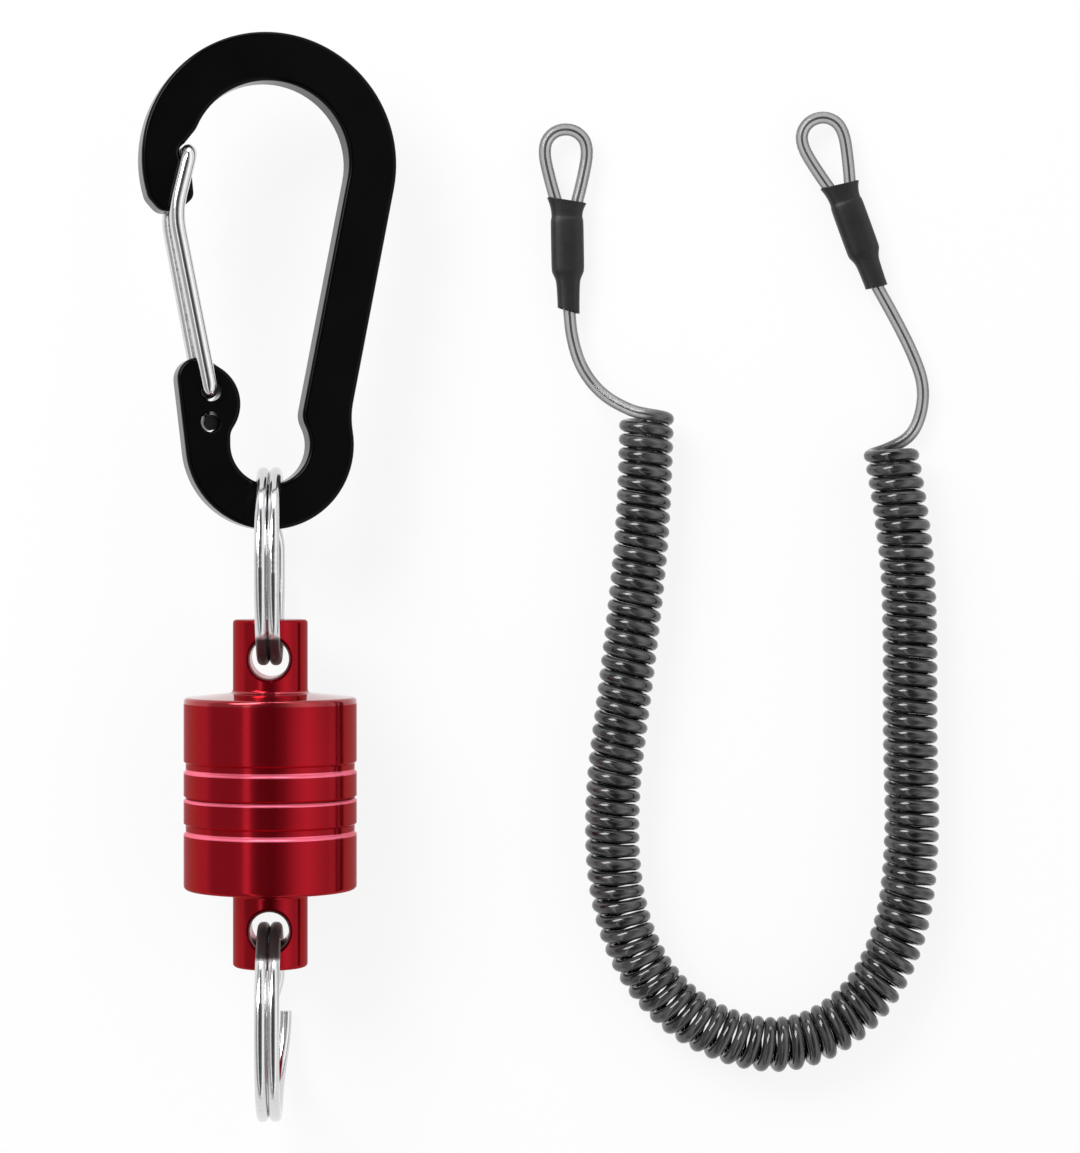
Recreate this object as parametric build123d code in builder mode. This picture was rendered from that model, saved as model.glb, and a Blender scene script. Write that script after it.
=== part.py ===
"""Magnetic release with a snap hook and a coiled lanyard, laid out on a table.

The release is a turned aluminium housing in two halves. A magnet glued into each half holds them
together, and a pull parts them. A split ring goes through the lug at each end, and the snap hook
hangs on the upper ring. The lanyard lies beside it: a coiled cord with a crimped loop at each end.

Millimetres, +Z up. The origin is on the table, under the middle of the release. +Y runs along the
release towards the hook, and +X points to the lanyard.
"""

from build123d import *

import os
from math import acos, asin, atan2, cos, degrees, hypot, pi, radians, sin, tan

os.makedirs("parts", exist_ok=True)

# ---- driving dimensions -------------------------------------------------------------------------

# Housing, lying on its side with its axis along Y
HOUSING_D = 25.0
AXIS_Z = HOUSING_D / 2
PARTING_Y = -31.9  # plane where the two halves meet
PARTING_GAP = 0.1
UPPER_BODY = 14.5  # parting plane to the shoulder's rim
LOWER_BODY = 13.2
SHOULDER_RISE = 0.6  # the shoulder slopes up this far from its rim to the lug
LUG_D = 10.8
LUG_LENGTH = 11.2
LUG_HOLE_D = 5.6
LUG_HOLE_RIM = 0.6  # chamfer round the hole
SHOULDER_TO_HOLE = 5.65
GROOVE_WIDTH = 1.6
GROOVE_DEPTH = 0.3
UPPER_GROOVE = 4.5  # parting plane to the groove's middle
LOWER_GROOVE = 4.4

# Magnets, in a pocket bored into each half from the parting plane
POCKET_D = 20.4
MAGNET_D = 20.0
MAGNET_LENGTH = 5.0
BACKING_LENGTH = 1.5  # steel disc behind the magnet
SPIGOT = 1.4  # how far the lower magnet stands out, into the upper pocket
MAGNET_GAP = 0.1

# Split rings, standing on edge in the YZ plane
RING_OD = 28.5
WIRE = 1.7  # side of the ring's square wire
WIRE_CORNER = 0.75
RING_PITCH = WIRE + 0.1  # between the two coils
RING_R = (RING_OD - WIRE) / 2
RING_Z = RING_OD / 2
RING_SEAT = 0.15  # wire's centre line past the hole's middle

# Snap hook, cut from plate, with its bar across the inside of the upper ring
PLATE = 5.0
PLATE_EDGE = 0.6
BAR_WIDTH = 6.5
BOTTOM_OUTER_R = 12.25
BOTTOM_INNER_R = BOTTOM_OUTER_R - BAR_WIDTH
TOP_OUTER_R = 18.5
TOP_INNER_R = 11.5
BOTTOM_V = BOTTOM_OUTER_R - BAR_WIDTH / 2  # the bows' centres, up from the bar's middle
TOP_V = BOTTOM_V + 40.6
ARM_LEAN = 11.0  # degrees that the straight arm leans from the hook's axis
BAR_TO_RING = 4.05  # bar's middle to the ring's inside
HOOK_X = -0.3
HOOK_ROLL = 12.0  # degrees that the right-hand side turns down

# Wire gate
GATE_WIRE = 2.2
GATE_HOLE_D = 2.9
GATE_HOLE_RIM = 0.15
GATE_U, GATE_V = -8.6, 14.3  # the gate's axis on the plate
GATE_STEP = 2.2  # from there to each end's hole, along the plate
GATE_PLAY = 0.28  # each end rests this far off its hole's middle
GATE_OFF = PLATE / 2 + GATE_WIRE / 2 + 0.05  # legs' centre lines off the plate's middle
GATE_BAR = (-11.8, 50.5)
GATE_KINK = (-13.95, 41.7)

# Hook outline: the nose that the gate closes on and the post that carries the gate
NOSE_END = 198  # degrees round the top bow, on its outside
LIP_END = 188  # and on its inside, where the notch is cut
NOSE = [(-15.9, 42.0), (-13.3, 42.0), (-11.0, 44.1)]
NOTCH_R = 1.35
NOTCH_MOUTH = [(-12.6, 51.45), (-10.0, 54.7), (-8.0, 54.7), (-8.0, 46.1), (-10.4, 46.1), (-12.5, 49.5)]
HEAD_TOP, HEAD_TOP_R = (-10.4, 18.3), 3.0
HEAD_LOW, HEAD_LOW_R = (-10.3, 14.7), 6.0

# Lanyard
CORD_D = 1.8
COIL_OD = 8.1
COIL_Z = COIL_OD / 2
END_Z = 1.8  # height of the loops and sleeves
STRAND = 0.95  # half the distance between the strands in a ferrule
FERRULE_TOP, FERRULE_BOTTOM = -3.8, -9.6
FERRULE_SIZE = (4.3, 2.5)
FERRULE_BORE = (3.86, 1.9)
LOOP_CENTRE = 6.9  # middle of the loop's round end, beyond the sleeve's mouth
LOOP_R = 3.2
LOOP_START = -2.6  # where the strands part
SLEEVE_WALL = 0.32
LOOP_SIDE = (-2.35, 2.2)
# distance from the mouth, width and thickness at each station of the shrunk sleeve
SLEEVE_STATIONS = [
    (0.0, 6.0, 3.3),
    (-2.6, 4.8, 3.3),
    (-3.4, 5.0, 3.5),
    (-11.2, 5.0, 3.5),
    (-12.3, 3.9, 3.1),
    (-13.4, 3.5, 3.0),
    (-16.3, 3.3, 2.9),
]
# the lead's first points, from its strand in the ferrule to the sleeve's tail
TAIL = [(-STRAND, FERRULE_BOTTOM, 0), (-STRAND, -10.9, 0), (-0.35, -13.2, 0), (0.1, -16.4, 0)]
LEFT_END = Location((43.5, 56.1, END_Z), (0, 0, 1))
RIGHT_END = Location((84.0, 58.4, END_Z), (0, 0, 20))

# The coil's centre line, from the left end round to the right
COIL_ROUTE = [
    (55.2, 23.7, COIL_Z),
    (54.9, 10.4, COIL_Z),
    (53.6, -3.5, COIL_Z),
    (51.9, -17.6, COIL_Z),
    (49.9, -32.8, COIL_Z),
    (50.4, -47.1, COIL_Z),
    (54.5, -58.6, COIL_Z),
    (63.2, -67.0, COIL_Z),
    (75.8, -70.3, COIL_Z),
    (86.9, -64.6, COIL_Z),
    (93.1, -53.3, COIL_Z),
    (94.7, -39.1, COIL_Z),
    (94.2, -24.2, COIL_Z),
    (94.3, -9.1, COIL_Z),
    (93.7, 6.0, COIL_Z),
    (91.3, 18.8, COIL_Z),
]

# The leads from the sleeves to the coil, which the left one meets on top and the right one below
LEFT_LEAD = [
    (44.2, 35.5, 1.8),
    (45.6, 30.7, 2.3),
    (48.6, 26.7, 3.8),
    (52.6, 24.3, 5.6),
    (56.8, 23.0, 6.6),
]
RIGHT_LEAD = [
    (92.1, 38.8, 1.8),
    (94.8, 33.6, 1.8),
    (96.7, 28.7, 1.9),
    (96.4, 24.3, 1.8),
    (94.5, 20.6, 1.6),
    (91.8, 18.2, 1.4),
]


def finish(part, name):
    """Label a finished piece and write it to its own file."""
    part.label = name
    export_step(part, f"parts/{name}.step")


# ---- housing ------------------------------------------------------------------------------------


def turned_half(way, body, groove, pocket):
    """One half of the housing: way is +1 for the upper half, -1 for the lower."""

    def at(radius, along):
        return (radius, PARTING_Y + way * along)

    outer_r = HOUSING_D / 2
    lug_r = LUG_D / 2
    end = body + LUG_LENGTH
    face = PARTING_GAP / 2
    bevel = 0.3
    rim_r = 0.6
    neck_r = 0.6
    end_r = 0.5
    top = body + SHOULDER_RISE
    near, far = groove - GROOVE_WIDTH / 2, groove + GROOVE_WIDTH / 2
    groove_r = outer_r - GROOVE_DEPTH
    axis = Axis((0, 0, AXIS_Z), (0, 1, 0))

    with BuildPart() as half:
        with BuildSketch(Plane.XY.offset(AXIS_Z)):
            with BuildLine():
                floor = Line(at(0, end), at(0, pocket))
                wall = Polyline(floor @ 1, at(POCKET_D / 2, pocket), at(POCKET_D / 2, face))
                side = Polyline(
                    wall @ 1,
                    at(outer_r - bevel, face),
                    at(outer_r, face + bevel),
                    at(outer_r, near),
                    at(groove_r, near + GROOVE_DEPTH),
                    at(groove_r, far - GROOVE_DEPTH),
                    at(outer_r, far),
                    at(outer_r, body - rim_r),
                )
                rim = RadiusArc(side @ 1, at(outer_r - rim_r, body), -way * rim_r)
                shoulder = Line(rim @ 1, at(lug_r + neck_r, top))
                neck = RadiusArc(shoulder @ 1, at(lug_r, top + neck_r), way * neck_r)
                lug = Line(neck @ 1, at(lug_r, end - end_r))
                lug_end = RadiusArc(lug @ 1, at(lug_r - end_r, end), -way * end_r)
                Line(lug_end @ 1, floor @ 0)
            make_face()
        revolve(axis=axis)
        with BuildSketch(Plane.XY):
            with Locations((0, PARTING_Y + way * (body + SHOULDER_TO_HOLE))):
                Circle(LUG_HOLE_D / 2)
        extrude(amount=HOUSING_D, mode=Mode.SUBTRACT)
        rims = half.edges().filter_by(
            lambda e: e.geom_type not in (GeomType.LINE, GeomType.CIRCLE)
            and abs(e.center().Y - (PARTING_Y + way * (body + SHOULDER_TO_HOLE))) < 1
        )
        chamfer(rims, LUG_HOLE_RIM)
    return half


def disc(radius, start, length, inner=0.0):
    """A disc or tube on the housing's axis, from start along +Y."""
    with BuildPart() as piece:
        with BuildSketch(Plane((0, start, AXIS_Z), z_dir=(0, 1, 0))):
            Circle(radius)
            if inner:
                Circle(inner, mode=Mode.SUBTRACT)
        extrude(amount=length)
    return piece


lower_pocket = MAGNET_LENGTH + BACKING_LENGTH - SPIGOT
upper_pocket = SPIGOT + MAGNET_GAP + MAGNET_LENGTH + BACKING_LENGTH
upper_magnet_y = PARTING_Y + SPIGOT + MAGNET_GAP
lower_magnet_y = PARTING_Y + SPIGOT - MAGNET_LENGTH
glue_length = MAGNET_LENGTH - SPIGOT - PARTING_GAP

upper_housing = turned_half(1, UPPER_BODY, UPPER_GROOVE, upper_pocket)
lower_housing = turned_half(-1, LOWER_BODY, LOWER_GROOVE, lower_pocket)
upper_magnet = disc(MAGNET_D / 2, upper_magnet_y, MAGNET_LENGTH)
lower_magnet = disc(MAGNET_D / 2, lower_magnet_y, MAGNET_LENGTH)
upper_backing_disc = disc(MAGNET_D / 2, upper_magnet_y + MAGNET_LENGTH, BACKING_LENGTH)
lower_backing_disc = disc(MAGNET_D / 2, lower_magnet_y - BACKING_LENGTH, BACKING_LENGTH)
upper_glue_ring = disc(
    POCKET_D / 2, upper_magnet_y + MAGNET_LENGTH - glue_length, glue_length, MAGNET_D / 2
)
lower_glue_ring = disc(POCKET_D / 2, lower_magnet_y, glue_length, MAGNET_D / 2)

finish(upper_housing.part, "upper_housing")
finish(lower_housing.part, "lower_housing")
finish(upper_magnet.part, "upper_magnet")
finish(lower_magnet.part, "lower_magnet")
finish(upper_backing_disc.part, "upper_backing_disc")
finish(lower_backing_disc.part, "lower_backing_disc")
finish(upper_glue_ring.part, "upper_glue_ring")
finish(lower_glue_ring.part, "lower_glue_ring")

# ---- split rings --------------------------------------------------------------------------------


def ring_plane(centre_y, angle, offset):
    """Plane across the ring's wire: angle in degrees round from +Y, offset sideways in X."""
    a = radians(angle)
    place = (offset, centre_y + RING_R * cos(a), RING_Z + RING_R * sin(a))
    return Plane(place, x_dir=(1, 0, 0), z_dir=(0, -sin(a), cos(a)))


def eased(start, end, steps):
    """Values from start to end that leave and arrive gently."""
    return [start + (end - start) * (1 - cos(pi * k / steps)) / 2 for k in range(steps + 1)]


def split_ring(centre_y, cross_start, cross_arc, right_arc, left_arc, spring, spring_arc):
    """Two flat coils joined by a crossover. The crossover leaves the right coil at cross_start.

    The right coil's free end is sprung out by spring over its last spring_arc degrees.
    """
    axis = Axis((0, centre_y, RING_Z), (1, 0, 0))
    side = RING_PITCH / 2
    way = 1 if cross_arc > 0 else -1
    spring_start = cross_start - way * (right_arc - spring_arc)
    steps = 6

    with BuildPart() as ring:
        with BuildSketch(ring_plane(centre_y, cross_start, side)):
            RectangleRounded(WIRE, WIRE, WIRE_CORNER)
        revolve(axis=axis, revolution_arc=-way * (right_arc - spring_arc))
        if spring:
            for k, offset in enumerate(eased(side, side + spring, steps)):
                with BuildSketch(
                    ring_plane(centre_y, spring_start - way * spring_arc * k / steps, offset)
                ):
                    RectangleRounded(WIRE, WIRE, WIRE_CORNER)
            loft()
        for k, offset in enumerate(eased(side, -side, steps)):
            with BuildSketch(ring_plane(centre_y, cross_start + cross_arc * k / steps, offset)):
                RectangleRounded(WIRE, WIRE, WIRE_CORNER)
        loft()
        with BuildSketch(ring_plane(centre_y, cross_start + cross_arc, -side)):
            RectangleRounded(WIRE, WIRE, WIRE_CORNER)
        revolve(axis=axis, revolution_arc=way * left_arc)
    return ring


upper_hole_y = PARTING_Y + UPPER_BODY + SHOULDER_TO_HOLE
lower_hole_y = PARTING_Y - LOWER_BODY - SHOULDER_TO_HOLE
upper_ring_y = upper_hole_y + RING_R - RING_SEAT
lower_ring_y = lower_hole_y - RING_R + RING_SEAT

upper_split_ring = split_ring(upper_ring_y, -80, 40, 317, 317, 0, 0)
lower_split_ring = split_ring(lower_ring_y, -66, -36, 334, 320, 1.0, 60)

finish(upper_split_ring.part, "upper_split_ring")
finish(lower_split_ring.part, "lower_split_ring")

# ---- snap hook ----------------------------------------------------------------------------------

bar_y = upper_ring_y + RING_R - WIRE / 2 - BAR_TO_RING
hook_plane = Plane(Location((HOOK_X, bar_y, RING_Z), (0, HOOK_ROLL, 0)))


def arm_meets_bow(top_r, bottom_r):
    """Angle round the bottom bow, in degrees, where the arm's edge tangent to the top bow meets it."""
    lean = radians(ARM_LEAN)
    return degrees(acos((top_r - (TOP_V - BOTTOM_V) * sin(lean)) / bottom_r)) - ARM_LEAN


def bow_point(centre_v, radius, angle):
    a = radians(angle)
    return (radius * cos(a), centre_v + radius * sin(a))


outer_waist = arm_meets_bow(TOP_OUTER_R, BOTTOM_OUTER_R)
inner_waist = arm_meets_bow(TOP_INNER_R, BOTTOM_INNER_R)


def round_corners(sketch, corners):
    """Round the sketch's corners nearest to the given points, each with its own radius."""
    for corner, radius in corners:
        fillet(sketch.vertices().sort_by_distance(corner)[0], radius)


def shared_tangent(big, big_r, small, small_r, side):
    """Direction, in degrees, of the points where a line touches two circles on one side."""
    across, up = small[0] - big[0], small[1] - big[1]
    return degrees(atan2(up, across) + side * acos((big_r - small_r) / hypot(across, up)))


# where the post's outer edge leaves the bottom bow, and where its head's arcs meet
post_side = shared_tangent((0, BOTTOM_V), BOTTOM_OUTER_R, HEAD_TOP, HEAD_TOP_R, 1)
head_crown = shared_tangent(HEAD_LOW, HEAD_LOW_R, HEAD_TOP, HEAD_TOP_R, -1)
head_foot = -degrees(acos((-BOTTOM_INNER_R - HEAD_LOW[0]) / HEAD_LOW_R))

with BuildPart() as carabiner_frame:
    with BuildSketch(hook_plane) as outline:
        # bows and arm, from the nose over the top and down the right to the post
        with BuildLine():
            top_outer = CenterArc((0, TOP_V), TOP_OUTER_R, -ARM_LEAN, NOSE_END + ARM_LEAN)
            Polyline(top_outer @ 1, *NOSE, bow_point(TOP_V, TOP_INNER_R, LIP_END))
            top_inner = CenterArc((0, TOP_V), TOP_INNER_R, LIP_END, -(LIP_END + ARM_LEAN))
            Line(top_inner @ 1, bow_point(BOTTOM_V, BOTTOM_INNER_R, inner_waist))
            bottom_inner = CenterArc(
                (0, BOTTOM_V), BOTTOM_INNER_R, inner_waist, -(inner_waist + 180)
            )
            head_side = CenterArc(HEAD_LOW, HEAD_LOW_R, head_foot, head_crown - head_foot)
            head_top = CenterArc(HEAD_TOP, HEAD_TOP_R, head_crown, post_side - head_crown)
            bottom_outer = CenterArc(
                (0, BOTTOM_V), BOTTOM_OUTER_R, post_side, 360 + outer_waist - post_side
            )
            Line(bottom_inner @ 1, head_side @ 0)
            Line(head_side @ 1, head_top @ 0)
            Line(head_top @ 1, bottom_outer @ 0)
            Line(bottom_outer @ 1, top_outer @ 0)
        make_face()
        # notch that the gate's bar closes into, open to the inside
        with Locations(GATE_BAR):
            Circle(NOTCH_R, mode=Mode.SUBTRACT)
        with BuildLine():
            Polyline(*NOTCH_MOUTH, close=True)
        make_face(mode=Mode.SUBTRACT)
        round_corners(
            outline,
            [
                (bow_point(BOTTOM_V, BOTTOM_OUTER_R, outer_waist), 12.0),
                (bow_point(BOTTOM_V, BOTTOM_INNER_R, inner_waist), 3.5),
                (head_side @ 0, 2.5),
                (NOSE[0], 1.8),
                (NOSE[1], 1.8),
                (NOSE[2], 1.5),
                ((-11.2, 47.4), 0.9),
                (NOTCH_MOUTH[1], 4.0),
                (bow_point(TOP_V, TOP_OUTER_R, NOSE_END), 2.0),
            ],
        )
    extrude(amount=PLATE / 2, both=True)
    faces = carabiner_frame.faces().filter_by(GeomType.PLANE).sort_by(SortBy.AREA)[-2:]
    fillet(faces.edges(), PLATE_EDGE)
    # the gate's two holes through the post
    with BuildSketch(hook_plane):
        with Locations((GATE_U, GATE_V + GATE_STEP), (GATE_U, GATE_V - GATE_STEP)):
            Circle(GATE_HOLE_D / 2)
    extrude(amount=PLATE, both=True, mode=Mode.SUBTRACT)
    chamfer(carabiner_frame.edges(Select.LAST), GATE_HOLE_RIM)

# ---- tubes --------------------------------------------------------------------------------------


def corner_radii(points):
    """Bend radius at each inner point: 0.45 of the shorter run over the tangent of half the turn."""
    radii = []
    for before, here, after in zip(points, points[1:], points[2:]):
        run_in, run_out = Vector(here) - Vector(before), Vector(after) - Vector(here)
        half_turn = radians(run_in.get_angle(run_out)) / 2
        radii.append(0.45 * min(run_in.length, run_out.length) / tan(half_turn))
    return radii


def tube(points, diameter, radii):
    """A round tube along straight runs joined by tangent arcs."""
    with BuildPart() as piece:
        with BuildLine() as path:
            FilletPolyline(*points, radius=radii)
        with BuildSketch(Plane(path.line @ 0, z_dir=path.line % 0)):
            Circle(diameter / 2)
        sweep(path=path.line)
    return piece


def cord(name, points, diameter):
    """A plain length of cord, with its bend radii and volume printed."""
    radii = corner_radii(points)
    piece = tube(points, diameter, radii)
    length = piece.part.volume / (pi * diameter**2 / 4)
    print(name, "length", round(length, 1), "radii", [round(r, 1) for r in radii])
    finish(piece.part, name)


# ---- wire gate ----------------------------------------------------------------------------------

end_depth = -0.6  # past the plate's middle
gate_route = [
    (GATE_U - GATE_PLAY, GATE_V + GATE_STEP, end_depth),
    (GATE_U - GATE_PLAY, GATE_V + GATE_STEP, GATE_OFF),
    (*GATE_KINK, GATE_OFF),
    (*GATE_BAR, GATE_OFF),
    (*GATE_BAR, -GATE_OFF),
    (*GATE_KINK, -GATE_OFF),
    (GATE_U + GATE_PLAY, GATE_V - GATE_STEP, -GATE_OFF),
    (GATE_U + GATE_PLAY, GATE_V - GATE_STEP, -end_depth),
]
gate_points = [hook_plane.from_local_coords(p) for p in gate_route]
gate_wire = tube(gate_points, GATE_WIRE, [1.25, 12.0, 1.6, 1.6, 12.0, 1.25])

finish(carabiner_frame.part, "carabiner_frame")
finish(gate_wire.part, "gate_wire")

# ---- lanyard ------------------------------------------------------------------------------------


def loop_route():
    """Loop in its end's own frame: up one strand, round a drop and back down the other."""
    # tangent from the point where a strand leaves the ferrule to the round end
    reach = hypot(STRAND, LOOP_CENTRE - LOOP_START)
    lean = degrees(asin(LOOP_R / reach)) - degrees(atan2(STRAND, LOOP_CENTRE - LOOP_START))
    corners = 4
    turn = (180 + 2 * lean) / corners
    corner_r = LOOP_R / cos(radians(turn / 2))
    side = [(-STRAND, FERRULE_BOTTOM), (-STRAND, LOOP_START), LOOP_SIDE]
    top = []
    for k in range(corners):
        a = radians(180 + lean - turn * (k + 0.5))
        top.append((corner_r * cos(a), LOOP_CENTRE + corner_r * sin(a)))
    back = [(-x, y) for x, y in reversed(side)]
    return [(x, y, 0) for x, y in side + top + back]


def lanyard_end(side, place, lead):
    """The pieces at one end of the lanyard: loop, ferrule, sleeve and the lead to the coil."""
    frame = Plane(place)
    cord(f"{side}_loop", [frame.from_local_coords(p) for p in loop_route()], CORD_D)
    tail = [frame.from_local_coords(p) for p in TAIL]
    cord(f"{side}_lead", tail + [Vector(p) for p in lead], CORD_D)

    with BuildPart() as ferrule:
        with BuildSketch(Plane(place * Location((0, FERRULE_BOTTOM, 0), (-90, 0, 0)))):
            SlotOverall(*FERRULE_SIZE)
            SlotOverall(*FERRULE_BORE, mode=Mode.SUBTRACT)
        extrude(amount=FERRULE_TOP - FERRULE_BOTTOM)
    finish(ferrule.part, f"{side}_ferrule")

    with BuildPart() as sleeve:
        for shrink, mode in ((0, Mode.ADD), (2 * SLEEVE_WALL, Mode.SUBTRACT)):
            for along, width, thickness in SLEEVE_STATIONS:
                with BuildSketch(Plane(place * Location((0, along, 0), (-90, 0, 0)))):
                    SlotOverall(width - shrink, thickness - shrink)
            loft(ruled=True, mode=mode)
    finish(sleeve.part, f"{side}_sleeve")


lanyard_end("left", LEFT_END, LEFT_LEAD)
lanyard_end("right", RIGHT_END, RIGHT_LEAD)
cord("lanyard_coil", COIL_ROUTE, COIL_OD)
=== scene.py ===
# %% [markdown]
# # A magnetic net release and its coiled lanyard
# The release has two turned aluminium halves, held together by magnets. A split ring goes through
# the lug at each end, and a snap hook hangs on the upper ring. Beside it lies a lanyard: one
# plastic-coated cord, coiled in the middle, with a crimped loop at each end.
#
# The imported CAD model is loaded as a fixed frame. Its metal pieces keep their shape and get new
# finishes here. The cord and the sleeves are made again in Blender, where they can be wound and
# shrunk as the real ones are.

from math import asin, atan2, copysign, cos, degrees, hypot, pi, radians, sin, tan

import bmesh
import bpy
from mathutils import Matrix, Vector


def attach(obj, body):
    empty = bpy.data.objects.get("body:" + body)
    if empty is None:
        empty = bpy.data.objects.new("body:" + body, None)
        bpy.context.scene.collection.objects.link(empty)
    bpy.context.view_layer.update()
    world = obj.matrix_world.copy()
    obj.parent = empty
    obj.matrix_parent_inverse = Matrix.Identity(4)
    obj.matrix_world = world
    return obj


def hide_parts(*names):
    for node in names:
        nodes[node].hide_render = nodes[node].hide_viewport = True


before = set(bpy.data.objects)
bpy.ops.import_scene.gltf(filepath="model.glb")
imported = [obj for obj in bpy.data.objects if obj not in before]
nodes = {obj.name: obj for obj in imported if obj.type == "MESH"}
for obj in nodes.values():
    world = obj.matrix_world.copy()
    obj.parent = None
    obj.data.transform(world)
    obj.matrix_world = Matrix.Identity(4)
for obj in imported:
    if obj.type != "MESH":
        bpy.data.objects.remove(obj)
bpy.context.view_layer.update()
scene = bpy.context.scene

# %% [markdown]
# ## The camera
# Everything lies on a table and is seen from 45 cm above the housing's axis. A camera looks along
# its own -Z, so with no turn at all it already looks down with +Y at the top of the picture. It
# stands a little to the right of the housing, while the picture's middle is between the housing and
# the coil. A turn alone would make the far side smaller, and a lens shift alone would push the object
# aside in every other view, so each does half. The shift is in units of the picture's height.

# %% Camera
MM = 0.001
EYE = (16.0, 3.8)  # x and y of the camera, in millimetres
MIDDLE = (39.0, 0.0)  # x and y of what lies in the picture's middle
AXIS_Z = 12.5  # the housing's axis above the table
HEIGHT = 450.0  # the camera above that axis
COVERED = 166.8  # how much the picture's height covers at that axis

half_way = atan2(MIDDLE[0] - EYE[0], HEIGHT) / 2
camera_data = bpy.data.cameras.new("camera")
camera_data.lens = HEIGHT / COVERED * camera_data.sensor_width
camera_data.shift_x = tan(half_way) * HEIGHT / COVERED
camera_data.shift_y = (MIDDLE[1] - EYE[1]) / COVERED
camera_data.clip_start = 0.01
camera = bpy.data.objects.new("camera", camera_data)
camera.location = Vector((*EYE, AXIS_Z + HEIGHT)) * MM
camera.rotation_euler = (0, -half_way, 0)
scene.collection.objects.link(camera)
scene.camera = camera
print("lens", round(camera_data.lens, 1), "mm, turned", round(degrees(half_way), 2), "degrees")

# %% [markdown]
# ## Shader helpers
# A procedural material is mostly arithmetic on a few patterns. Written as node trees, that is long
# and hard to read. So a small class wraps one output socket and overloads the operators: a * b adds
# a Math node. The reflected forms make 1 - a work as well.


# %% Numbers on a surface
class Value:
    """A number that varies over a surface. Sums and products of it become Math nodes."""

    def __init__(self, finish, socket):
        self.finish = finish
        self.socket = socket

    def math(self, operation, *others):
        made = self.finish.node("Math", {"operation": operation})
        for slot, value in zip(made.inputs, (self, *others)):
            self.finish.feed(slot, value)
        return Value(self.finish, made.outputs[0])

    def __add__(self, other):
        return self.math("ADD", other)

    def __mul__(self, other):
        return self.math("MULTIPLY", other)

    def __sub__(self, other):
        return self.math("SUBTRACT", other)

    def __rsub__(self, other):
        return (self * -1.0) + other

    __radd__ = __add__
    __rmul__ = __mul__


# %% [markdown]
# A second class holds a shader tree. Its one node method makes any kind of node: it sets the node's
# settings first, because some of them change which sockets there are, and then its sockets, which
# take a number or a link. The ramp and the map range are used so often that each has a short name.


# %% Nodes of a tree
class Patterns:
    """A shader tree, with one method that makes any node and joins what it is given."""

    def __init__(self, tree):
        self.tree = tree
        self.tree.nodes.clear()

    def feed(self, slot, value):
        if isinstance(value, Value):
            self.tree.links.new(value.socket, slot)
        elif isinstance(value, bpy.types.NodeSocket):
            self.tree.links.new(value, slot)
        else:
            slot.default_value = value

    def node(self, kind, settings=None, sockets=None):
        made = self.tree.nodes.new("ShaderNode" + kind)
        for name, value in (settings or {}).items():
            if name == "stops":
                for k, (place, colour) in enumerate(value):
                    stop = made.color_ramp.elements[k] if k < 2 else made.color_ramp.elements.new(place)
                    stop.position = place
                    stop.color = (*colour, 1)
            else:
                setattr(made, name, value)
        for name, value in (sockets or {}).items():
            self.feed(made.inputs[name], value)
        return made

    def ramp(self, value, stops):
        """A colour that follows value from stop to stop."""
        made = self.node("ValToRGB", {"stops": stops}, {"Fac": value})
        return made.outputs["Color"]

    def between(self, value, low, high):
        """0 where value is below low, 1 above high, and a smooth step between."""
        made = self.node(
            "MapRange",
            {"interpolation_type": "SMOOTHSTEP"},
            {"Value": value, "From Min": low, "From Max": high},
        )
        return Value(self, made.outputs["Result"])


# %% [markdown]
# A third class is one material: a tree with a Principled shader. Its patterns read Object
# coordinates, which are metres in the part's own frame, so a finish keeps its scale on every piece
# and stays on the piece when it moves.


# %% One material
class Finish(Patterns):
    """One material, with a Principled shader that its patterns feed."""

    def __init__(self, name, **settings):
        self.material = bpy.data.materials.new(name)
        self.material.use_nodes = True
        super().__init__(self.material.node_tree)
        self.shader = self.node("BsdfPrincipled")
        self.set(**settings)
        self.output = self.node("OutputMaterial")
        self.tree.links.new(self.shader.outputs[0], self.output.inputs["Surface"])

    def place(self, stretch=(1, 1, 1)):
        """Object coordinates in metres, stretched."""
        coordinates = self.node("TexCoord").outputs["Object"]
        return self.node("Mapping", sockets={"Vector": coordinates, "Scale": stretch}).outputs[0]

    def noise(self, scale, detail=3.0, stretch=(1, 1, 1)):
        made = self.node(
            "TexNoise", sockets={"Vector": self.place(stretch), "Scale": scale, "Detail": detail}
        )
        return Value(self, made.outputs["Fac"])

    def level(self, value, low, high):
        """value from 0 to 1 turned into low to high, and held there."""
        made = self.node("MapRange", sockets={"Value": value, "To Min": low, "To Max": high})
        return Value(self, made.outputs["Result"])

    def bump(self, height, strength, distance):
        made = self.node("Bump", sockets={"Height": height, "Strength": strength, "Distance": distance})
        self.set(Normal=made.outputs[0])

    def set(self, **sockets):
        for name, value in sockets.items():
            self.feed(self.shader.inputs[name.replace("_", " ")], value)


def paint(obj, finish):
    obj.data.materials.clear()
    obj.data.materials.append(finish.material)
    print(obj.name, "is finished with", finish.material.name)


# %% [markdown]
# ## The lanyard's route
# The whole lanyard is one cord. It starts in the left crimp, runs round the left loop and back
# through the crimp, goes on to the coil, winds through it and ends the same way on the right. The
# route is one NURBS spline: its control points pull the line into smooth bends, as a springy cord
# lies. The numbers are in millimetres on the table, like the CAD's.

# %% Route of the ends
CORD = 1.8  # diameter of the cord
END_Z = 1.8  # the crimps' axis above the table

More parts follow.
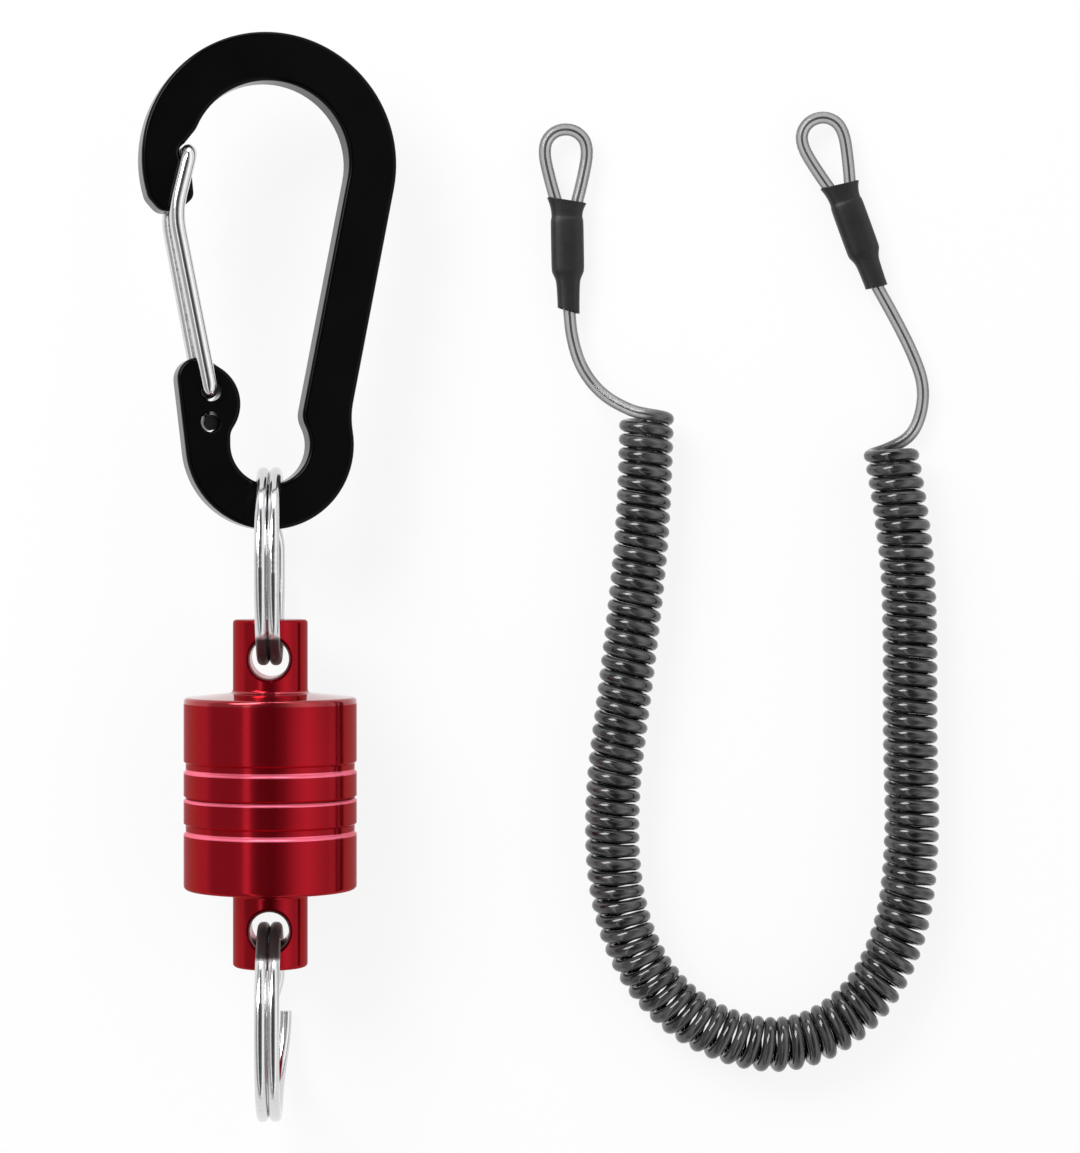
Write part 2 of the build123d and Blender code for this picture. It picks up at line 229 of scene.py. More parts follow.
# one end, in its own frame: x across it, y towards the loop, and 0 at the sleeve's mouth
STRAND = 0.95  # each strand's x in the crimp
FERRULE_BOTTOM = -9.6
LOOP_START = -2.6  # where the strands begin to part
LOOP_SIDE = (-2.35, 2.2)  # the point that pulls the loop's side outwards
LOOP_CENTRE = 6.9  # y of the middle of the loop's round top
LOOP_R = 3.2
LOOP_CORNERS = 4  # control points round that top
TAIL = [(-STRAND, -10.9, 0), (-0.35, -13.2, 0), (0.1, -16.4, 0)]

# where the two ends lie, how far each is turned, and the leads from there to the coil
LEFT_END = Matrix.Translation((43.5, 56.1, END_Z)) @ Matrix.Rotation(radians(1), 4, "Z")
RIGHT_END = Matrix.Translation((84.0, 58.4, END_Z)) @ Matrix.Rotation(radians(20), 4, "Z")
LEFT_LEAD = [(44.2, 35.5, END_Z), (45.6, 30.7, 2.3), (48.6, 26.7, 3.8), (52.6, 24.3, 6.2)]
RIGHT_LEAD = [
    (92.1, 38.8, END_Z), (94.8, 33.6, END_Z), (96.7, 28.7, 1.7), (96.5, 24.3, 1.4), (94.9, 20.6, 1.1),
]  # fmt: skip


def loop_points():
    """A loop in its end's own frame: up one strand, round a drop and down the other."""
    reach = hypot(STRAND, LOOP_CENTRE - LOOP_START)
    lean = degrees(asin(LOOP_R / reach)) - degrees(atan2(STRAND, LOOP_CENTRE - LOOP_START))
    turn = (180 + 2 * lean) / LOOP_CORNERS
    corner = LOOP_R / cos(radians(turn / 2))
    side = [(-STRAND, FERRULE_BOTTOM), (-STRAND, LOOP_START), LOOP_SIDE]
    angles = [radians(180 + lean - turn * (k + 0.5)) for k in range(LOOP_CORNERS)]
    top = [(corner * cos(a), LOOP_CENTRE + corner * sin(a)) for a in angles]
    back = [(-x, y) for x, y in reversed(side)]
    return [Vector((x, y, 0)) for x, y in side + top + back]


def end_points(end, lead):
    """From the loop's cut end in the crimp, round the loop, to the coil."""
    loop = [end @ p for p in reversed(loop_points())]
    tail = [end @ Vector(p) for p in TAIL]
    return loop + tail + [Vector(p) for p in lead]


left_points = end_points(LEFT_END, LEFT_LEAD)
right_points = end_points(RIGHT_END, RIGHT_LEAD)[::-1]
print("control points in the ends", len(left_points), len(right_points))

# %% [markdown]
# ## The coil
# A coiled cord is a helix along a curved line. First the line: the coil's own middle, as a spline
# through the U that the coil lies in. Then the turns. On the inside of a bend the turns touch, so
# they fan out on the outside, and the number of turns to each millimetre falls as the line bends
# harder. The helix is left-handed, as the real one is.

# %% Turns of the coil
COIL_ROUTE = [
    (55.2, 23.7), (54.9, 10.4), (53.6, -3.5), (51.9, -17.6), (49.9, -32.8), (50.4, -47.1),
    (54.5, -58.6), (63.2, -67.0), (75.8, -70.3), (86.9, -64.6), (93.1, -53.3), (94.7, -39.1),
    (94.2, -24.2), (94.3, -9.1), (93.7, 6.0), (91.3, 18.8),
]  # fmt: skip
COIL_OUTSIDE = 8.1  # diameter over the turns
LINE_STEPS = 32  # points on the middle line for each of its control points
TURN_SPACING = 2.07  # along a straight stretch
BEND_SPACING = 1.86  # on the inside of the sharpest bend
SHARPEST = 0.04  # how hard that bend is, in radians to each millimetre
BEND_REACH = 40  # steps of the line, on each side, that a bend is averaged over
POINTS_PER_TURN = 12


def spline_object(name, points):
    """A curve with one open NURBS spline. Its order is set once its points are there."""
    curve = bpy.data.curves.new(name, "CURVE")
    curve.dimensions = "3D"
    spline = curve.splines.new("NURBS")
    spline.points.add(len(points) - 1)
    for slot, p in zip(spline.points, points):
        slot.co = (*(Vector(p) * MM), 1)
    spline.order_u = 3
    spline.use_endpoint_u = True
    obj = bpy.data.objects.new(name, curve)
    scene.collection.objects.link(obj)
    return obj


def line_of(obj, steps):
    """The points that a curve object's spline passes through, in millimetres."""
    obj.data.resolution_u = steps
    bpy.context.view_layer.update()
    mesh = bpy.data.meshes.new_from_object(obj.evaluated_get(bpy.context.evaluated_depsgraph_get()))
    points = [v.co / MM for v in mesh.vertices]
    bpy.data.meshes.remove(mesh)
    return points


def coil_points():
    """The helix's control points, from its top at the left end to its underside at the right."""
    middle = spline_object("coil_middle", [(x, y, COIL_OUTSIDE / 2) for x, y in COIL_ROUTE])
    line = line_of(middle, LINE_STEPS)
    bpy.data.objects.remove(middle)
    # a quadratic spline takes 3/4 of a control point and 1/8 of each neighbour, so it runs inside
    # them, and they have to lie further out
    inside = 0.75 + 0.25 * cos(2 * pi / POINTS_PER_TURN)
    radius = (COIL_OUTSIDE - CORD) / 2
    steps = [(b - a).length for a, b in zip(line, line[1:])]
    ways = [(b - a).normalized() for a, b in zip(line, line[1:])]
    # how hard the line bends at each step, in radians to each millimetre
    bends = []
    for k in range(len(ways)):
        low, high = max(0, k - BEND_REACH), min(len(ways) - 1, k + BEND_REACH)
        bends.append(ways[low].angle(ways[high]) / sum(steps[low:high]))
    # how many turns there are up to each point of the line
    turned = [0.0]
    for step, bend in zip(steps, bends):
        tightness = min(1, bend / SHARPEST)
        spacing = TURN_SPACING + (BEND_SPACING - TURN_SPACING) * tightness
        turned.append(turned[-1] + step * (1 - radius * bend) / spacing)
    # half a turn more than a whole number, so that the helix starts on top and ends underneath
    turns = round(turned[-1]) + 0.5
    points, k = [], 0
    for n in range(int(turns * POINTS_PER_TURN) + 1):
        wanted = n / POINTS_PER_TURN * turned[-1] / turns
        while k < len(ways) - 1 and turned[k + 1] < wanted:
            k += 1
        share = (wanted - turned[k]) / (turned[k + 1] - turned[k])
        here = line[k].lerp(line[k + 1], min(1, share))
        side = Vector((0, 0, 1)).cross(ways[k])
        angle = 2 * pi * n / POINTS_PER_TURN
        points.append(here + (Vector((0, 0, cos(angle))) + side * sin(angle)) * radius / inside)
    return points, turns, sum(steps)


helix, turns, coil_length = coil_points()
print("coil", round(coil_length, 1), "mm long,", turns, "turns,", len(helix), "points")

# %% [markdown]
# ## The cord
# Geometry Nodes turn the line into a tube: Curve to Mesh sweeps a circle along it. The tree also
# stores two attributes for the finish: how far along the cord a point is, from the line, and where
# it is across the cord, from the circle. Curve to Mesh hands both on to the mesh. The same tree
# makes the thin wire core inside, with another radius.

# %% Tube tree
def tube_tree():
    tree = bpy.data.node_groups.new("tube", "GeometryNodeTree")
    face = tree.interface
    face.new_socket("Line", in_out="INPUT", socket_type="NodeSocketGeometry")
    face.new_socket("Radius", in_out="INPUT", socket_type="NodeSocketFloat")
    face.new_socket("Sides", in_out="INPUT", socket_type="NodeSocketInt")
    face.new_socket("Finish", in_out="INPUT", socket_type="NodeSocketMaterial")
    face.new_socket("Tube", in_out="OUTPUT", socket_type="NodeSocketGeometry")
    add = tree.nodes.new
    start, end = add("NodeGroupInput"), add("NodeGroupOutput")
    along = add("GeometryNodeSplineParameter")
    place = add("GeometryNodeInputPosition")
    circle = add("GeometryNodeCurvePrimitiveCircle")
    stores = []
    for name, kind in (("along", "FLOAT"), ("across", "FLOAT_VECTOR")):
        store = add("GeometryNodeStoreNamedAttribute")
        store.data_type = kind
        store.domain = "POINT"
        store.inputs["Name"].default_value = name
        stores.append(store)
    sweep = add("GeometryNodeCurveToMesh")
    sweep.inputs["Fill Caps"].default_value = True
    smooth = add("GeometryNodeSetShadeSmooth")
    realize = add("GeometryNodeRealizeInstances")
    material = add("GeometryNodeSetMaterial")
    link = tree.links.new
    link(start.outputs["Line"], stores[0].inputs["Geometry"])
    link(along.outputs["Length"], stores[0].inputs["Value"])
    link(start.outputs["Radius"], circle.inputs["Radius"])
    link(start.outputs["Sides"], circle.inputs["Resolution"])
    link(circle.outputs["Curve"], stores[1].inputs["Geometry"])
    link(place.outputs["Position"], stores[1].inputs["Value"])
    link(stores[0].outputs["Geometry"], sweep.inputs["Curve"])
    link(stores[1].outputs["Geometry"], sweep.inputs["Profile Curve"])
    link(sweep.outputs["Mesh"], smooth.inputs["Geometry"])
    link(smooth.outputs["Geometry"], realize.inputs["Geometry"])
    link(realize.outputs["Geometry"], material.inputs["Geometry"])
    link(start.outputs["Finish"], material.inputs["Material"])
    link(material.outputs["Geometry"], end.inputs["Tube"])
    print("tube tree with", len(tree.nodes), "nodes")
    return tree


tube = tube_tree()


def tube_along(name, line, radius, sides, finish):
    """Sweep a circle along the line object and return the tube as a plain mesh object."""
    modifier = line.modifiers.new("tube", "NODES")
    modifier.node_group = tube
    named = {s.name: s.identifier for s in tube.interface.items_tree if s.in_out == "INPUT"}
    modifier[named["Radius"]] = radius * MM
    modifier[named["Sides"]] = sides
    modifier[named["Finish"]] = finish.material
    bpy.context.view_layer.update()
    evaluated = line.evaluated_get(bpy.context.evaluated_depsgraph_get())
    mesh = bpy.data.meshes.new_from_object(evaluated)
    line.modifiers.remove(modifier)
    mesh.name = name
    obj = bpy.data.objects.new(name, mesh)
    scene.collection.objects.link(obj)
    paint(obj, finish)
    print(name, len(mesh.polygons), "faces")
    return obj


# %% [markdown]
# ### Finish of the cord
# The cord is smoke-tinted clear plastic over a thin dark wire core. In the straight leads light
# goes through it, so it looks pale grey with a dark line in it. Wound into a coil it looks nearly
# black, because each turn is seen against the turns under it. One material does both: the distance
# along the cord, stored on the tube, paints it darker and more opaque in the coil, as painted shade
# for the turns under it. Drawing the plastic leaves faint streaks, so their noise is read from the
# distance along and the place across, and stretched along.

# %% Cord finishes
ROUTE_STEPS = 5  # points on the cord's line for each of its control points
COIL_START_FADE = (-0.003, 0.004)  # metres along the cord over which the coil's painted shade begins
COIL_STOP_FADE = (-0.001, 0.006)  # and over which it ends
STREAK_STRETCH = 0.2
STREAK_SCALE = 1900

cord_line = spline_object("lanyard_line", left_points + helix + right_points)
route = line_of(cord_line, ROUTE_STEPS)


def line_length(points):
    """Metres from control point to control point, which is how a NURBS line's length is stored."""
    return sum((b - a).length for a, b in zip(points, points[1:])) * MM


def cord_shell():
    made = Finish("smoked_plastic", IOR=1.62)
    along = Value(made, made.node("Attribute", {"attribute_name": "along"}).outputs["Fac"])
    start, stop = line_length(left_points + helix[:1]), line_length(left_points + helix)
    print("coil from", round(start, 3), "to", round(stop, 3), "m along the cord")
    begun = made.between(along, *[start + reach for reach in COIL_START_FADE])
    ended = made.between(along, *[stop + reach for reach in COIL_STOP_FADE])
    # the coil is painted darker and more opaque than the leads: painted shade for the turns under each
    # turn
    coil_shaded = begun - ended
    across = made.node("Attribute", {"attribute_name": "across"}).outputs["Vector"]
    sides = made.node("SeparateXYZ", sockets={"Vector": across}).outputs
    drawn = made.node(
        "CombineXYZ",
        sockets={"X": along * STREAK_STRETCH, "Y": sides["X"], "Z": sides["Y"]},
    ).outputs[0]
    noise = made.node(
        "TexNoise",
        sockets={"Vector": drawn, "Scale": STREAK_SCALE, "Detail": 2.0},
    ).outputs["Fac"]
    streaks = made.between(Value(made, noise), 0.35, 0.65)
    # near the cord's outline one looks through more of the plastic
    rim = Value(made, made.node("LayerWeight", sockets={"Blend": 0.5}).outputs["Facing"])
    clear = made.ramp(streaks, [(0.0, (0.1, 0.1, 0.102)), (1.0, (0.17, 0.17, 0.174))])
    # the coil's colour: the plastic painted nearly black as painted shade
    coil_shade_colour = made.ramp(streaks, [(0.0, (0.008, 0.008, 0.009)), (1.0, (0.055, 0.055, 0.058))])
    colour = made.node("Mix", {"data_type": "RGBA"}, {"Factor": coil_shaded})
    made.feed(colour.inputs[6], clear)
    made.feed(colour.inputs[7], coil_shade_colour)
    seen = made.level(coil_shaded, 0.4, 0.97) + made.between(rim, 0.12, 0.5) * 0.42
    made.set(
        Base_Color=colour.outputs[2],
        Alpha=seen.math("MINIMUM", 1.0),
        Roughness=made.level(streaks, 0.05, 0.1),
    )
    return made


def cord_core():
    made = Finish("core_wire", Metallic=0.3)
    strands = made.noise(scale=4000, detail=1.0)
    made.set(
        Base_Color=made.ramp(strands, [(0.3, (0.02, 0.02, 0.022)), (0.7, (0.06, 0.06, 0.065))]),
        Roughness=made.level(strands, 0.3, 0.5),
    )
    return made


# %% [markdown]
# ### The cord itself
# The tree runs twice on the same line, once for the plastic and once for the wire in it. The cord
# winds nearly a hundred times, so each circle has only as many sides as its outline needs. The
# plastic is a hair thicker than its nominal size, which closes up the turns in the bend.

# %% Cord and its core
CORD_SWELL = 0.02  # added to the cord's radius
CORD_SIDES = 12
CORE_RADIUS = 0.18
CORE_SIDES = 6

cord = tube_along("lanyard_cord", cord_line, CORD / 2 + CORD_SWELL, CORD_SIDES, cord_shell())
core = tube_along("lanyard_core", cord_line, CORE_RADIUS, CORE_SIDES, cord_core())
bpy.data.objects.remove(cord_line)

# %% [markdown]
# ### The shrunk sleeves
# A piece of heat-shrink tube covers each crimp. It flares at its mouth, where the two strands part,
# swells over the crimp and narrows to the single strand. Each sleeve is lofted from flat oval
# sections. Subdivision rounds it and Solidify gives it its wall. A broad noise in the bump makes it
# as uneven as shrunk rubber is.

# %% Sleeves
# distance from the mouth, half the width, half the height
SLEEVE_SECTIONS = [
    (0.0, 2.95, 1.62), (-0.5, 2.72, 1.58), (-1.4, 2.45, 1.54), (-2.4, 2.32, 1.5), (-2.9, 2.32, 1.5),
    (-3.15, 2.4, 1.6), (-3.5, 2.46, 1.7), (-5.0, 2.47, 1.72), (-8.0, 2.47, 1.72), (-10.7, 2.46, 1.7),
    (-11.1, 2.38, 1.66), (-11.6, 2.12, 1.52), (-12.2, 1.86, 1.46), (-12.9, 1.76, 1.44),
    (-14.5, 1.68, 1.42), (-15.9, 1.64, 1.42), (-16.25, 1.66, 1.43),
]  # fmt: skip
SLEEVE_LENGTH = 16.3
SLEEVE_WALL = 0.3
SLEEVE_SIDES = 20
FULLNESS = 0.75  # the power of an oval's sine and cosine: below 1 it fills its corners
CUT_SHARE = 5  # a slanting cut dies out over one part in this many of the length


def sleeve(name, end, mouth_slant, tail_slant, finish):
    """One sleeve: mouth_slant and tail_slant are how far its cut ends lean across its width."""
    made = bmesh.new()
    rings = []
    for along, half_width, half_height in SLEEVE_SECTIONS:
        share = -along / SLEEVE_LENGTH * CUT_SHARE
        slant = mouth_slant * max(0, 1 - share) + tail_slant * max(0, share - (CUT_SHARE - 1))
        ring = []
        for k in range(SLEEVE_SIDES):
            a = 2 * pi * k / SLEEVE_SIDES
            x = copysign(abs(cos(a)) ** FULLNESS, cos(a))
            z = copysign(abs(sin(a)) ** FULLNESS, sin(a))
            place = Vector((x * half_width, along - slant * (x + 1) / 2, z * half_height))
            ring.append(made.verts.new((end @ place) * MM))
        rings.append(ring)
    for ring, following in zip(rings, rings[1:]):
        for k in range(SLEEVE_SIDES):
            n = (k + 1) % SLEEVE_SIDES
            made.faces.new((ring[k], ring[n], following[n], following[k]))
    bmesh.ops.recalc_face_normals(made, faces=made.faces)
    mesh = bpy.data.meshes.new(name)
    made.to_mesh(mesh)
    made.free()
    for face in mesh.polygons:
        face.use_smooth = True
    obj = bpy.data.objects.new(name, mesh)
    scene.collection.objects.link(obj)
    rounding = obj.modifiers.new("round", "SUBSURF")
    rounding.levels = rounding.render_levels = 2
    wall = obj.modifiers.new("wall", "SOLIDIFY")
    wall.thickness = SLEEVE_WALL * MM
    wall.offset = -1
    paint(obj, finish)
    print(name, len(mesh.polygons), "faces before subdivision")
    return obj


def shrink_rubber():
    made = Finish("shrunk_rubber", IOR=1.45)
    fine = made.noise(scale=2500, detail=4.0)
    broad = made.noise(scale=300, detail=2.0)
    made.set(
        Base_Color=made.ramp(broad, [(0.3, (0.006, 0.006, 0.006)), (0.7, (0.011, 0.011, 0.012))]),
        Roughness=made.level(fine, 0.4, 0.56),
    )
    made.bump(fine * 0.4 + broad, strength=0.35, distance=0.0002)
    return made


rubber = shrink_rubber()
left_sleeve = sleeve("left_shrink", LEFT_END, 1.0, 1.0, rubber)
right_sleeve = sleeve("right_shrink", RIGHT_END, 0.7, 0.4, rubber)

# %% [markdown]
# ### What the lanyard's new pieces stand for
# Each new piece rides on the lanyard's body, and the CAD nodes that it stands for are hidden.

for piece in (cord, core, left_sleeve, right_sleeve):
    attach(piece, "lanyard")
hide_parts("left_loop", "left_lead", "lanyard_coil", "right_lead", "right_loop")
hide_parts("left_sleeve")
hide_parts("right_sleeve")
print("the cord leaves the left crimp at", [round(x, 1) for x in route[0]])

# %% [markdown]
# ## Finishes of the metal pieces
# The CAD nodes keep their shapes, so only their finish is made here. The hook is black anodised
# plate: dark, satin, with a very fine grain from the etching bath. The walls of the two small holes
# for the gate are rougher. Object coordinates find them: the plate leans, so its own crosswise
# measure comes from turning x and z back.

# %% Black anodised plate
HOOK_LEAN = radians(12)
HOOK_AXIS_X, HOOK_AXIS_Z = -0.3, 14.25  # a point on the plate's middle plane
GATE_HOLES = (26.75, 21.85)  # y of the two holes
GATE_HOLES_ACROSS = -8.6  # where they are across the plate
GATE_HOLE_EDGE = (2.0, 2.6)  # square of the radius inside and outside their walls


def where(made):
    """Object coordinates as three numbers, in metres."""
    axes = made.node("SeparateXYZ", sockets={"Vector": made.place()}).outputs
    return [Value(made, axes[name]) for name in "XYZ"]


def in_gate_holes(made):
    """1 inside the two small holes that the gate's ends sit in, and 0 elsewhere."""
    x, y, z = where(made)
    turned_x = (x - HOOK_AXIS_X * MM) * cos(HOOK_LEAN)
    turned_z = (z - HOOK_AXIS_Z * MM) * sin(HOOK_LEAN)
    across = turned_x - turned_z - GATE_HOLES_ACROSS * MM
    upper, lower = [y - hole * MM for hole in GATE_HOLES]
    off = (upper * upper).math("MINIMUM", lower * lower) + across * across
    return 1.0 - made.between(off * MM**-2, *GATE_HOLE_EDGE)


def black_anodised():
    made = Finish("black_anodised", IOR=1.18)
    grain = made.noise(scale=6000, detail=3.0)
    cloud = made.noise(scale=120, detail=2.0)
    tint = [(0.3, (0.0008, 0.0008, 0.0009)), (0.7, (0.0016, 0.0016, 0.0018))]
    made.set(
        Base_Color=made.ramp(cloud, tint),
        Roughness=made.level(grain, 0.13, 0.2) + in_gate_holes(made) * 0.5,
    )
    made.bump(grain, strength=0.06, distance=0.00002)
    return made


paint(nodes["carabiner_frame"], black_anodised())

# %% [markdown]
# ### Red housing
# The housing is turned on a lathe and anodised red. The dye sits in a clear layer over bright
# metal, so it is a metallic shader with a coloured base and a thin coat. The tool leaves fine rings
# round the axis, which spread each highlight along the housing. The sides of the grooves that face
# the hook get a painted highlight: their colour is painted pink and they are less metallic. The
# shoulder is polished, with a stronger coat, and its colour is painted a little lighter as a painted
# highlight. The holes in the lugs were drilled later, so their walls are bare.

# %% Red anodised housing
LUG_HOLES = (-11.75, -50.75)  # y of the holes' middles
LUG_HOLE_EDGE = (2.9, 3.1)  # the radius inside and outside their walls
# lowest and highest y of each painted highlight on a groove's side, and of the shoulder
PAINTED_HIGHLIGHTS = [(-37.25, -36.6), (-32.42, -31.95), (-28.35, -27.7)]
SHOULDER = [(-18.3, -16.5)]
BAND_BLUR = 0.06
LATHE_STRETCH = (0.02, 1.0, 0.02)  # draws a noise out round the housing, so it makes rings


def bands(made, places):
    """1 between each pair of y values, and 0 elsewhere."""
    y = where(made)[1] * (1 / MM)

    def past(edge):
        return made.between(y, edge - BAND_BLUR, edge + BAND_BLUR)

    return sum(past(low) - past(high) for low, high in places)


def in_lug_holes(made):
    """1 inside the holes through the lugs, and 0 elsewhere."""
    x, y, _ = where(made)
    upper, lower = [(y - hole * MM) * (1 / MM) for hole in LUG_HOLES]
    across = x * (1 / MM)
    off = (upper * upper).math("MINIMUM", lower * lower) + across * across
    return 1.0 - made.between(off, *[radius * radius for radius in LUG_HOLE_EDGE])


def red_anodised():
    made = Finish("red_anodised", Coat_Roughness=0.05, Specular_Tint=(0.6, 0.12, 0.16, 1))
    rings = made.noise(scale=2600, detail=2.0, stretch=LATHE_STRETCH)
    cloud = made.noise(scale=90, detail=2.0)
    # painted highlight: the groove sides that face the hook are painted pink and less metallic
    highlight_bands = bands(made, PAINTED_HIGHLIGHTS)
    bare = in_lug_holes(made)
    shoulder = bands(made, SHOULDER)
    # the dye's random tone, with painted highlight on the groove sides and the shoulder and bare metal
    # in the holes: the tint runs from deep red to the painted pink and then to bare metal
    dye_and_highlight = made.level(cloud, 0.0, 0.3) + highlight_bands * 0.3 + bare * 0.7 + shoulder * 0.1
    # the pink stops are the colour of the painted highlight
    tint = [
        (0.08, (0.285, 0.005, 0.011)), (0.24, (0.325, 0.006, 0.013)),
        (0.45, (0.9, 0.17, 0.26)), (0.6, (0.9, 0.17, 0.26)), (0.75, (0.55, 0.48, 0.44)),
    ]  # fmt: skip
    made.set(
        Base_Color=made.ramp(dye_and_highlight, tint),
        Metallic=made.level(highlight_bands, 0.78, 0.45),
        Roughness=made.level(rings, 0.1, 0.2),
        Coat_Weight=made.level(shoulder, 0.04, 0.9),
    )
    made.bump(rings, strength=0.2, distance=0.00004)
    return made


red = red_anodised()
paint(nodes["upper_housing"], red)
paint(nodes["lower_housing"], red)

# %% [markdown]
# ### Steel wire
# The rings and the gate are polished stainless wire. Drawing the wire leaves faint streaks. Where a
# ring goes through its lug's hole, and where the gate's ends sit in the plate, the wire is rougher and
# painted dark as painted shade. A mask value of 1 there pulls the colour ramp down to its darkest stop.

# %% Steel
STREAK_SHADE = 0.92  # how much of its colour the metal keeps in a streak
DULLING = 0.2  # roughness added where the shade is painted
HOLE_SHADE_EDGE = (2.8, 3.8)  # how far from a lug hole's middle the wire is painted dark as shade, and then not
PLATE_EDGE = (2.2, 2.9)  # the same from the plate's middle plane


def steel(name, colour, low, high, painted_shade=None, shade_colour=(0.03, 0.027, 0.027)):
    """Metal with a roughness from low to high. Its mask argument gives the places that are rougher and
    painted dark as painted shade, in its darkest colour.
    """
    made = Finish(name, Metallic=1.0)
    streaks = made.noise(scale=1800, detail=3.0)
    shade, roughness = streaks, made.level(streaks, low, high)
    if painted_shade:
        shaded_and_dull = painted_shade(made)
        not_shaded = 1.0 - shaded_and_dull
        shade = streaks * not_shaded
        roughness = roughness + DULLING * shaded_and_dull
        made.set(Metallic=made.level(not_shaded, 0.25, 1.0))
    # the darkest stop is the colour of the painted shade
    tint = [(0.0, shade_colour), (0.3, tuple(STREAK_SHADE * c for c in colour)), (0.7, colour)]
    made.set(Base_Color=made.ramp(shade, tint), Roughness=roughness)
    made.bump(streaks, strength=0.08, distance=0.00003)
    return made


def shaded_in_holes(made):
    """1 where a ring goes through a lug's hole, where it gets painted shade, and 0 elsewhere."""
    y = where(made)[1]
    upper, lower = [(y - hole * MM).math("ABSOLUTE") for hole in LUG_HOLES]
    return 1.0 - made.between(upper.math("MINIMUM", lower), *[edge * MM for edge in HOLE_SHADE_EDGE])


def hidden_in_plate(made):
    """1 where the gate's wire is inside the leaning plate, where it gets painted shade, and 0 elsewhere.
    """
    x, _, z = where(made)
    turned_x = (x - HOOK_AXIS_X * MM) * sin(HOOK_LEAN)
    turned_z = (z - HOOK_AXIS_Z * MM) * cos(HOOK_LEAN)
    depth = (turned_x + turned_z).math("ABSOLUTE")
    return 1.0 - made.between(depth, *[edge * MM for edge in PLATE_EDGE])


# the rings and the gate get painted shade where they sit in the lug holes and in the plate
ring_steel = steel("ring_stainless", (0.72, 0.72, 0.73), 0.1, 0.17, shaded_in_holes)
gate_steel = steel(
    "gate_stainless", (0.74, 0.74, 0.75), 0.1, 0.17, hidden_in_plate, shade_colour=(0.006, 0.006, 0.006)
)
paint(nodes["upper_split_ring"], ring_steel)
paint(nodes["lower_split_ring"], ring_steel)
paint(nodes["gate_wire"], gate_steel)

# %% [markdown]
# ### Pieces inside
# The magnets show once the halves are apart. The discs behind them and the glue round them hardly
# ever do, and the crimps stay inside their sleeves. The metal ones share the steel helper, with
# other colours and no painted shade. The glue is a plain cloudy plastic.

# %% Hidden pieces
nickel = steel("nickel_plate", (0.66, 0.62, 0.56), 0.15, 0.25)
plated = steel("zinc_plate", (0.55, 0.56, 0.58), 0.3, 0.45)
crimp = steel("crimped_aluminium", (0.7, 0.7, 0.72), 0.25, 0.4)


def glue_finish():
    made = Finish("cured_glue", IOR=1.5)
    cloud = made.noise(scale=700, detail=3.0)
    made.set(
        Base_Color=made.ramp(cloud, [(0.3, (0.42, 0.36, 0.2)), (0.7, (0.55, 0.48, 0.3))]),
        Roughness=made.level(cloud, 0.2, 0.35),
    )
    return made


glue = glue_finish()
for half in ("upper", "lower"):
    paint(nodes[half + "_magnet"], nickel)
    paint(nodes[half + "_backing_disc"], plated)
    paint(nodes[half + "_glue_ring"], glue)
for side in ("left", "right"):
    paint(nodes[side + "_ferrule"], crimp)

# %% [markdown]
# ## Table and light
# The table is plain white. To stay white in the picture without flooding the object with light,
# its material glows for camera and mirror rays only. The top lies a little lower than the lowest
# piece, so that nothing sinks into it.

# %% Table
TABLE_SIZE = 6  # metres
TABLE_DROP = 0.4  # the table's top under z = 0
WHITE = 0.86
GLOW = 0.86  # how much of the table's look is its glow

bpy.ops.mesh.primitive_plane_add(size=TABLE_SIZE, location=(MIDDLE[0] * MM, 0, -TABLE_DROP * MM))
table = bpy.context.object
table.name = "table_top"


def table_finish():
    made = Finish("white_table", Roughness=0.6, Base_Color=(WHITE, WHITE, WHITE, 1))
    path = made.node("LightPath").outputs
    seen = Value(made, path["Is Camera Ray"]).math("MAXIMUM", Value(made, path["Is Glossy Ray"]))
    seen = seen.math("MAXIMUM", Value(made, path["Is Transmission Ray"]))
    glow = made.node("Emission", sockets={"Color": (1, 1, 1, 1), "Strength": 1.0})
    mix = made.node("MixShader", sockets={"Fac": seen * GLOW})
    made.tree.links.new(made.shader.outputs[0], mix.inputs[1])
    made.tree.links.new(glow.outputs[0], mix.inputs[2])
    made.tree.links.new(mix.outputs[0], made.output.inputs["Surface"])
    return made


paint(table, table_finish())

# %% [markdown]
# ### The room
# Turned metal shows the room it stands in. Here the room is dark overhead, where the camera is, with
# a thin strip light on the left, a broad soft one on the right, and a bright wall at the far end.
# The world's colour can follow the direction that a ray goes: its angle round the Y axis picks the
# strip or the soft light from a colour ramp, and its Y picks the far wall.

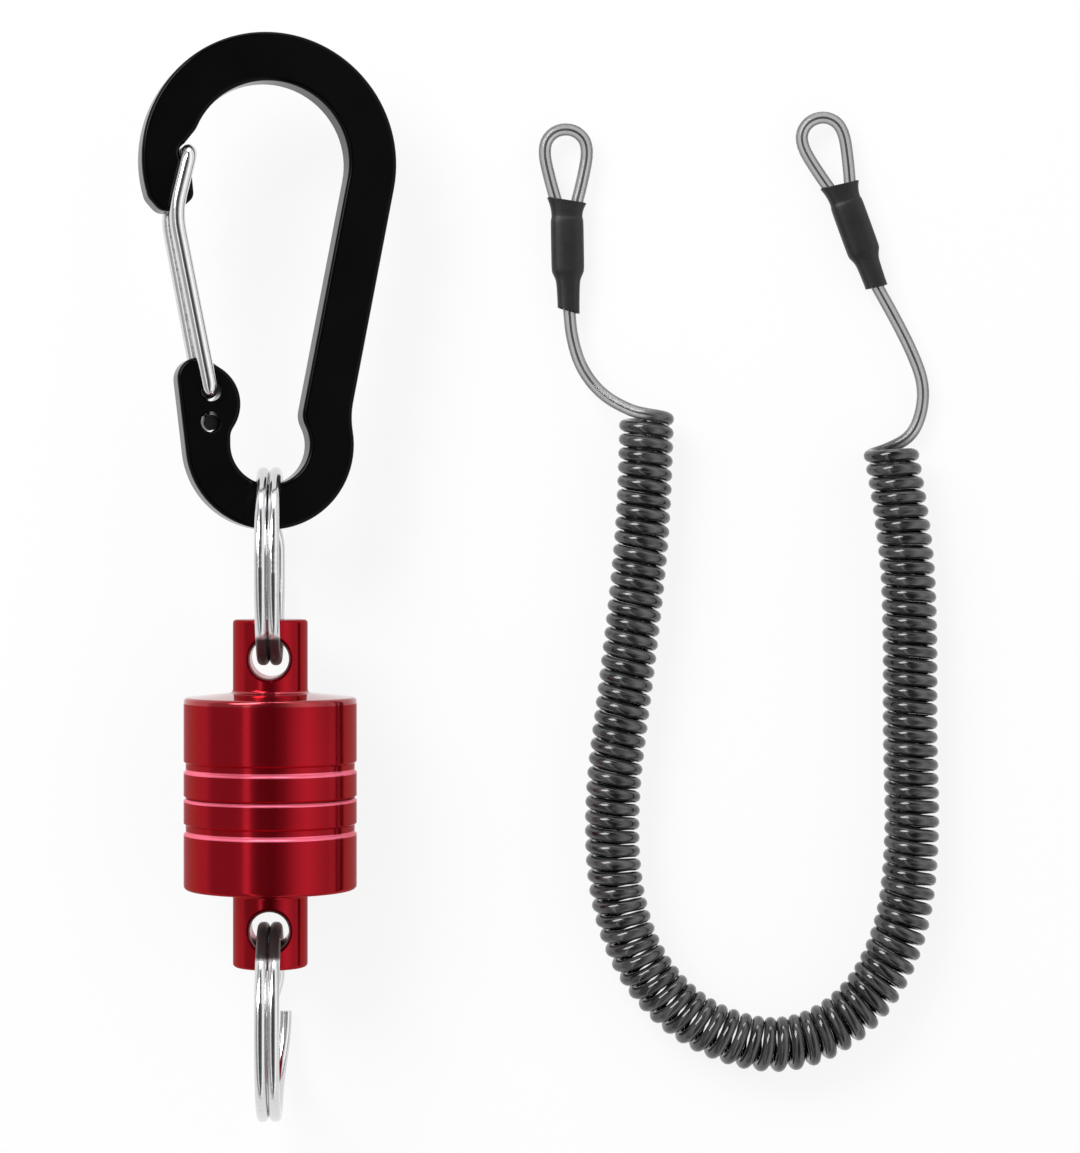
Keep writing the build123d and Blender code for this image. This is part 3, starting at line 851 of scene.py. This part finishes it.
# %% Room
# degrees from straight up, towards the right, and how bright the room is there
ROOM = [
    (-90, 0.85), (-81, 0.46), (-48, 0.45), (-36, 0.55), (-32, 1.6), (-27, 1.6), (-23, 0.45), (-14, 0.10),
    (6, 0.04), (20, 0.30), (36, 1.0), (52, 1.45), (66, 1.15), (82, 0.82), (90, 0.95),
]  # fmt: skip
FAR_WALL = (0.93, 0.985)  # a ray's Y where the wall begins, and where it is at its brightest
FAR_WALL_LEVEL = 5.0


def studio():
    world = bpy.data.worlds.new("studio")
    world.use_nodes = True
    room = Patterns(world.node_tree)
    direction = room.node("TexCoord").outputs["Generated"]
    ways = room.node("SeparateXYZ", sockets={"Vector": direction}).outputs
    turn = Value(room, ways["X"]).math("ARCTAN2", Value(room, ways["Z"]))
    stops = [((angle + 90) / 180, (level,) * 3) for angle, level in ROOM]
    band = room.node("RGBToBW", sockets={"Color": room.ramp(turn * (1 / pi) + 0.5, stops)})
    far = room.between(ways["Y"], *FAR_WALL)
    light = Value(room, band.outputs[0]).math("MAXIMUM", far * FAR_WALL_LEVEL)
    sky = room.node("Background", sockets={"Color": (1, 1, 1, 1), "Strength": light})
    output = room.node("OutputWorld")
    room.tree.links.new(sky.outputs[0], output.inputs["Surface"])
    return world


scene.world = studio()
print("room with", len(ROOM), "levels of brightness round it")


# %% [markdown]
# ### The lamps
# Two area lamps light the object. The panel overhead is not seen in polished faces. The softbox at
# the far left is, and gives the coil's turns their glints. The housing's round side doesn't mirror
# it, because that side only mirrors what is straight above or beside it.

# %% Lamps
def soft_light(name, place, size, power, mirrored):
    """An area lamp that faces the origin. Polished faces show it if it is mirrored."""
    data = bpy.data.lights.new(name, "AREA")
    data.shape = "RECTANGLE"
    data.size, data.size_y = size
    data.energy = power
    lamp = bpy.data.objects.new(name, data)
    lamp.location = place
    lamp.rotation_euler = (-Vector(place)).to_track_quat("-Z", "Y").to_euler()
    lamp.visible_glossy = mirrored
    scene.collection.objects.link(lamp)
    print(name, round(lamp.location.length, 2), "m away,", power, "W")


soft_light("overhead_panel", (0.0, 0.1, 1.1), (1.2, 1.2), 0.8, False)
soft_light("far_softbox", (-0.48, 0.57, 0.66), (0.7, 0.42), 8.3, True)
scene.view_settings.view_transform = "Standard"
